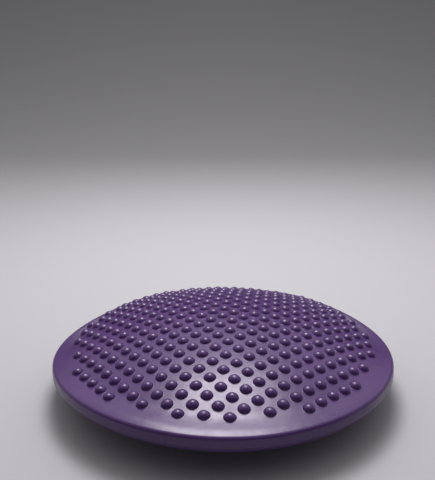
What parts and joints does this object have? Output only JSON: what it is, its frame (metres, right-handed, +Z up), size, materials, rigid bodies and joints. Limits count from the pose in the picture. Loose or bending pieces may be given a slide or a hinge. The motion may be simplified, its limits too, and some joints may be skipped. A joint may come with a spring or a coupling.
{
  "type": "wobble cushion",
  "caption": "Inflated round balance disc with a domed top covered in massage nubs, a banded rim, a domed underside on a small flat patch and a needle valve in the rim.",
  "frame": {"origin": "on the floor, at the centre of the disc", "axes": "+Z up along the disc's axis, +Y from the front towards the valve at the back, +X to the right as seen from the front"},
  "size_m": [0.3402, 0.3402, 0.074],
  "materials": {
    "skin": "satin moulded soft PVC, purple",
    "weld": "satin moulded soft PVC, darker purple",
    "valve_rubber": "matt black rubber"
  },
  "bodies": {
    "base": {"floor_patch": "skin"},
    "press_ring": {"lower_skin_inner_ring": "skin"},
    "tilt_ring": {"lower_skin_middle_ring": "skin"},
    "top": {"lower_skin_rim": "skin", "rim_weld": "weld", "upper_skin": "skin", "valve_sleeve": "weld", "valve_plug": "valve_rubber"}
  },
  "joints": [
    {"name": "press", "type": "slide", "parent": "base", "child": "press_ring", "axis": [0, 0, -1], "range_m": [0, 0.005], "stiffness_N_per_m": 3000, "springref_m": -0.004, "deforming": ["lower_skin_inner_ring"]},
    {"name": "tilt_fore_aft", "type": "hinge", "parent": "press_ring", "child": "tilt_ring", "pos_m": [0, 0, 0], "axis": [1, 0, 0], "range_deg": [-4, 4], "stiffness_Nm_per_rad": 30, "deforming": ["lower_skin_middle_ring"]},
    {"name": "tilt_sideways", "type": "hinge", "parent": "tilt_ring", "child": "top", "pos_m": [0, 0, 0], "axis": [0, 1, 0], "range_deg": [-4, 4], "stiffness_Nm_per_rad": 30}
  ]
}
